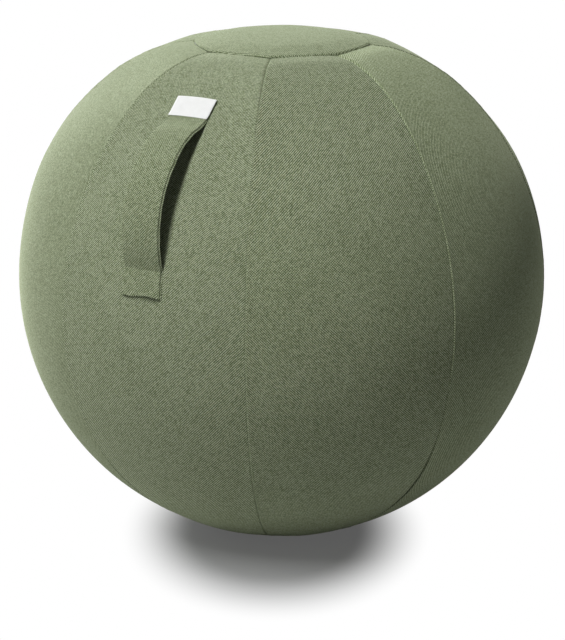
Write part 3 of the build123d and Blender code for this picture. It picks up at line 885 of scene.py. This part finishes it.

# Its cloth's place and lean, and the piece itself
STRAP_PLACE = 1100
UNDERSIDE_PLACE = 400
STRAP_LEAN = 0.35
grid = points.shape[:2]
along = cloth_run[:, None] * MILLIMETRES + np.where(section_y < 0, UNDERSIDE_PLACE, 0)
across = np.broadcast_to(section_x * MILLIMETRES + STRAP_PLACE, grid)
weave = np.stack([across, along, np.full(grid, STRAP_LEAN)], axis=-1)
# The lower face gets the painted shade.
shade = np.broadcast_to(np.where(section_y < UNDERSIDE_HEIGHT, UNDERSIDE_PAINTED_SHADE, 1.0), grid)
strap = grid_object("carry_strap", points, weave, shade, wrap=True, capped=True)
strap.data.materials.append(strap_cloth)
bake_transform(strap)
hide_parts("handle_lower_end", "handle_loop", "handle_upper_end")

# Blank tag across the strap's upper end, its lower corners curling up a little
TAG_COLUMNS = 27
TAG_OVERHANG = 0.0002
TAG_CURL = 0.0005
TAG_CURL_SHARE = 0.2
tag_rows = np.where(np.degrees(np.arctan2(line[:, 1], line[:, 0])) >= TAG_LATITUDE)[0]
tag_x = np.linspace(-1, 1, TAG_COLUMNS)
tag_run = run[tag_rows]
tag_length = float(tag_run[-1] - tag_run[0])
tag_share = (tag_run - tag_run[0]) / tag_length
tag_place = np.broadcast_to(tag_x * (half_width + TAG_OVERHANG), (len(tag_rows), TAG_COLUMNS))
tag_height = half_thickness + TAG_CLEARANCE + TAG_THICKNESS - tag_place**2 / (2 * BALL)
tag_curl = TAG_CURL * (1 - smooth(tag_share, 0, TAG_CURL_SHARE))[:, None] * np.abs(tag_x) ** 3
tag_points = strap_points(tag_rows, tag_place, tag_height + tag_curl)
tag_along = np.broadcast_to(tag_run[:, None] * MILLIMETRES, tag_place.shape)
tag_weave = np.stack([tag_place * MILLIMETRES, tag_along, np.zeros(tag_place.shape)], axis=-1)
tag = grid_object("blank_tag", tag_points, tag_weave, thickness=TAG_THICKNESS)
seat(tag, "handle_tag", tag_cloth)

# Zip tapes, sewn under the gores and under the base panel, with a bead beside the teeth
TAPE_COLUMNS = 220
TAPE_ROWS = 16
TAPE_END = 0.7
TAPE_LEAN = 0.5
BEAD_HEIGHT = 0.00025
BEAD_MIDDLE = 0.0008
BEAD_WIDTH = 0.0007
zip_angles = np.radians(np.linspace(ZIP_START + TAPE_END, ZIP_START + ZIP_SPAN - TAPE_END, TAPE_COLUMNS))
for name, direction in (("zip_tape_upper", 1), ("zip_tape_lower", -1)):
    steps = np.linspace(TAPE_EDGE, TAPE_WIDTH, TAPE_ROWS)[::direction]
    lengths = np.broadcast_to((SEAM_LENGTH + direction * steps)[:, None], (TAPE_ROWS, TAPE_COLUMNS))
    from_bead = np.abs(lengths - SEAM_LENGTH) - TAPE_EDGE - BEAD_MIDDLE
    bead = BEAD_HEIGHT * np.exp(-((from_bead / BEAD_WIDTH) ** 2))
    rho, height, _ = skin(lengths, bead - TAPE_TOP)
    tape_points = round_axis(rho, zip_angles, height)
    along = np.broadcast_to(zip_angles * BASE_SEAM_RADIUS * MILLIMETRES, rho.shape)
    tape_weave = np.stack([along, lengths * MILLIMETRES, np.full(rho.shape, TAPE_LEAN)], axis=-1)
    tape = grid_object(f"{name}_cloth", tape_points, tape_weave, thickness=TAPE_THICKNESS)
    seat(tape, name, tape_cloth)

# Inner ball: air presses it to the cover's inside, so it takes the cover's flatter gores and its swelling
BLADDER_FLAT_ROWS = 14
BLADDER_ROWS = 130
flat_lengths = np.linspace(POLE - BASE_FLAT, 0, BLADDER_FLAT_ROWS)[:-1]
lengths = np.concatenate([flat_lengths, np.linspace(0, LENGTH_KNOTS[-1], BLADDER_ROWS)])
lengths[-1] -= POLE
lengths = np.broadcast_to(lengths[:, None], (len(lengths), AROUND))
rho, height, angle = skin(lengths, swell(azimuths, angle_at(lengths)) - BLADDER_DEPTH)
rho = np.where(lengths < 0, rho, rho * facet(gore_offset, angle))
bladder_points = round_axis(np.maximum(rho, POLE), azimuths, height)
bladder = grid_object("air_ball", bladder_points, np.zeros(bladder_points.shape), wrap=True)
HOLE_FINER_WITHIN = 1.6
HOLE_EDGE_WITHIN = 1.4
HOLE_CUTS = 3


def cut_hole(mesh, centre, axis, radius):
    """Round hole in a mesh, where an axis from a centre goes out through it."""

    def from_axis(point):
        """Way from the axis to a point. A point on the ball's far side counts as a metre away."""
        reach = (point - centre).dot(axis)
        aside = point - centre - axis * reach
        return aside if reach > 0 else aside.normalized()

    def edge_from_axis(edge):
        """Distance from the axis to the nearer end of an edge."""
        return min(from_axis(vert.co).length for vert in edge.verts)

    shape = bmesh.new()
    shape.from_mesh(mesh)
    near = [edge for edge in shape.edges if edge_from_axis(edge) < HOLE_FINER_WITHIN * radius]
    bmesh.ops.subdivide_edges(shape, edges=near, cuts=HOLE_CUTS, use_grid_fill=True)
    inside = [face for face in shape.faces if from_axis(face.calc_center_median()).length < radius]
    bmesh.ops.delete(shape, geom=inside, context="FACES")
    for vert in shape.verts:
        aside = from_axis(vert.co)
        if vert.is_boundary and aside.length < HOLE_EDGE_WITHIN * radius:
            vert.co += aside.normalized() * radius - aside
    shape.to_mesh(mesh)
    shape.free()


ball_middle = Vector((0, 0, CENTRE_HEIGHT))
valve_way = Vector((0, cos(radians(VALVE_LATITUDE)), sin(radians(VALVE_LATITUDE))))
cut_hole(bladder.data, ball_middle, valve_way, VALVE_HOLE)
seat(bladder, "inner_ball", ball_plastic)

# CAD nodes that stay, of plastic and metal, some with softened edges
WELD = 1e-6
SHARP = radians(40)
for name, material, rounding in (
    ("valve_seat", valve_plastic, None),
    ("valve_plug", valve_plastic, None),
    ("zip_teeth_upper", teeth_plastic, None),
    ("zip_teeth_lower", teeth_plastic, None),
    ("zip_stops", zip_paint, 0.0003),
    ("zip_slider", zip_paint, 0.00022),
    ("zip_pull", zip_paint, 0.0002),
):
    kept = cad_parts[name]
    kept.data.materials.clear()
    kept.data.materials.append(material)
    if rounding:
        weld = kept.modifiers.new("weld", "WELD")
        weld.merge_threshold = WELD
        bevel = kept.modifiers.new("rounding", "BEVEL")
        bevel.width = rounding
        bevel.segments = 2
        bevel.limit_method = "ANGLE"
        bevel.angle_limit = SHARP

# Stage: a floor that glows white to the eye away from the ball. Round the ball its paint is darker to the
# eye than in bounced light, a painted shade that deepens its shadow, and a faint painted glow lifts that
# shadow
FLOOR_HALF = 9.0
FLOOR_DROP = 0.0002
FLOOR_CORNERS = [(-1, -1), (1, -1), (1, 1), (-1, 1)]
PAINT = (0.62, 0.62, 0.62, 1)
PAINT_SHADED_TO_THE_EYE = (0.345, 0.348, 0.356, 1)
# The round of the shadow: its middle and half sizes, to the camera's right and away from it, its edge, over
# which a painted glow fades the shadow out to white, and the painted glow left inside it
CLEAR_MIDDLE = (0.008, 0.06)
CLEAR_HALF = (0.135, 0.215)
CLEAR_EDGE = (0.75, 1.45)
PAINTED_GLOW_IN_SHADOW = 0.10
floor_mesh = bpy.data.meshes.new("floor")
floor_mesh.from_pydata([(x * FLOOR_HALF, y * FLOOR_HALF, 0) for x, y in FLOOR_CORNERS], [], [(0, 1, 2, 3)])
floor = bpy.data.objects.new("floor", floor_mesh)
scene.collection.objects.link(floor)
floor.location.z = -FLOOR_DROP
floor_paint, tree, shader = new_material("floor_paint")
shader.inputs["Roughness"].default_value = 0.9
shader.inputs["Specular IOR Level"].default_value = 0.0
# To the eye the floor's paint is a darker copy, a painted shade on its shadow.
paint = tree.add("ShaderNodeMix", data_type="RGBA")
tree.feed(paint.inputs["Factor"], tree.add("ShaderNodeLightPath").outputs["Is Camera Ray"])
paint.inputs["A"].default_value = PAINT
paint.inputs["B"].default_value = PAINT_SHADED_TO_THE_EYE
tree.feed(shader.inputs["Base Color"], paint.outputs["Result"])
turned = tree.add("ShaderNodeVectorRotate", rotation_type="Z_AXIS")
tree.feed(turned.inputs["Vector"], tree.add("ShaderNodeTexCoord").outputs["Object"])
turned.inputs["Angle"].default_value = -CAMERA_AZIMUTH
spread = tree.add("ShaderNodeVectorMath", operation="MULTIPLY_ADD")
tree.feed(spread.inputs[0], turned.outputs[0])
spread.inputs[1].default_value = (1 / CLEAR_HALF[0], 1 / CLEAR_HALF[1], 0)
spread.inputs[2].default_value = (CLEAR_MIDDLE[0] / CLEAR_HALF[0], CLEAR_MIDDLE[1] / CLEAR_HALF[1], 0)
distance = tree.add("ShaderNodeVectorMath", operation="LENGTH")
tree.feed(distance.inputs[0], spread.outputs[0])
# A glow that paints the shadow's fading edge, and a faint painted light inside the shadow.
glow = tree.add("ShaderNodeMapRange", interpolation_type="SMOOTHSTEP")
tree.feed(glow.inputs["Value"], distance.outputs["Value"])
glow.inputs["From Min"].default_value, glow.inputs["From Max"].default_value = CLEAR_EDGE
glow.inputs["To Min"].default_value = PAINTED_GLOW_IN_SHADOW
together = tree.add("ShaderNodeMixShader")
tree.feed(together.inputs[0], tree.maths("MULTIPLY", glow.outputs[0], tree.seen()))
tree.feed(together.inputs[1], shader.outputs[0])
tree.feed(together.inputs[2], tree.add("ShaderNodeEmission").outputs[0])
tree.feed(floor_paint.node_tree.nodes["Material Output"].inputs["Surface"], together.outputs[0])
floor.data.materials.append(floor_paint)

# World: white to the eye, and a faint even light on the object
WORLD_COLOUR = (0.97, 0.985, 1.0, 1)
WORLD_LEVEL = 0.01
world = bpy.data.worlds.new("studio")
scene.world = world
world.use_nodes = True
tree = Nodes(world.node_tree)
background = world.node_tree.nodes["Background"]
background.inputs["Color"].default_value = WORLD_COLOUR
background.inputs["Strength"].default_value = WORLD_LEVEL
white = tree.add("ShaderNodeBackground")
white.inputs["Color"].default_value = (1, 1, 1, 1)
white.inputs["Strength"].default_value = 1.0
either = tree.add("ShaderNodeMixShader")
tree.feed(either.inputs[0], tree.seen())
tree.feed(either.inputs[1], background.outputs[0])
tree.feed(either.inputs[2], white.outputs[0])
tree.feed(world.node_tree.nodes["World Output"].inputs["Surface"], either.outputs[0])

# Camera at the photograph's place
to_right = Vector((cos(CAMERA_AZIMUTH), sin(CAMERA_AZIMUTH), 0))
to_eye = Vector((sin(CAMERA_AZIMUTH), -cos(CAMERA_AZIMUTH), 0))
back = to_eye * cos(CAMERA_ELEVATION) + Vector((0, 0, sin(CAMERA_ELEVATION)))
camera_data = bpy.data.cameras.new("camera")
camera_data.lens = FOCAL_PIXELS / FRAME_HEIGHT * SENSOR
camera_data.sensor_width = SENSOR
camera_data.clip_end = 100
camera = bpy.data.objects.new("camera", camera_data)
scene.collection.objects.link(camera)
scene.camera = camera
aim = (-back).to_track_quat("-Z", "Y").to_matrix()
pitch = Matrix.Rotation(atan2(BALL_AT[1] - FRAME_HEIGHT / 2, FOCAL_PIXELS), 3, "X")
yaw = Matrix.Rotation(atan2(BALL_AT[0] - FRAME_WIDTH / 2, FOCAL_PIXELS), 3, "Y")
eye = ball_middle + back * CAMERA_DISTANCE
camera.matrix_world = Matrix.Translation(eye) @ (aim @ pitch @ yaw).to_4x4()


def softbox(name, azimuth, elevation, distance, size, level, colour):
    """Lamp turned to the ball, by its angles from the camera's side.

    Its size is its width and its height. Level 1 lights a facing surface to its own colour.
    """
    turn, rise = radians(azimuth), radians(elevation)
    level_way = to_right * sin(turn) + to_eye * cos(turn)
    way = level_way * cos(rise) + Vector((0, 0, sin(rise)))
    data = bpy.data.lights.new(name, "AREA")
    data.shape = "RECTANGLE"
    data.size, data.size_y = size
    data.energy = level * pi**2 * distance**2
    data.color = colour
    lamp = bpy.data.objects.new(name, data)
    lamp.visible_camera = False
    scene.collection.objects.link(lamp)
    facing_ball = way.to_track_quat("Z", "Y").to_matrix().to_4x4()
    lamp.matrix_world = Matrix.Translation(ball_middle + way * distance) @ facing_ball


softbox("key", -33, 55, 2.8, (0.5, 1.5), 0.81, (1.0, 0.998, 0.985))
softbox("side", -85, 6, 2.8, (1.2, 1.2), 0.04, (0.99, 1.0, 0.99))
softbox("back", -145, 17, 2.8, (1.8, 1.8), 0.74, (0.985, 0.995, 1.0))
softbox("rear", -168, 30, 3.0, (1.8, 1.8), 0.42, (0.985, 0.995, 1.0))

scene.view_settings.view_transform = "Standard"
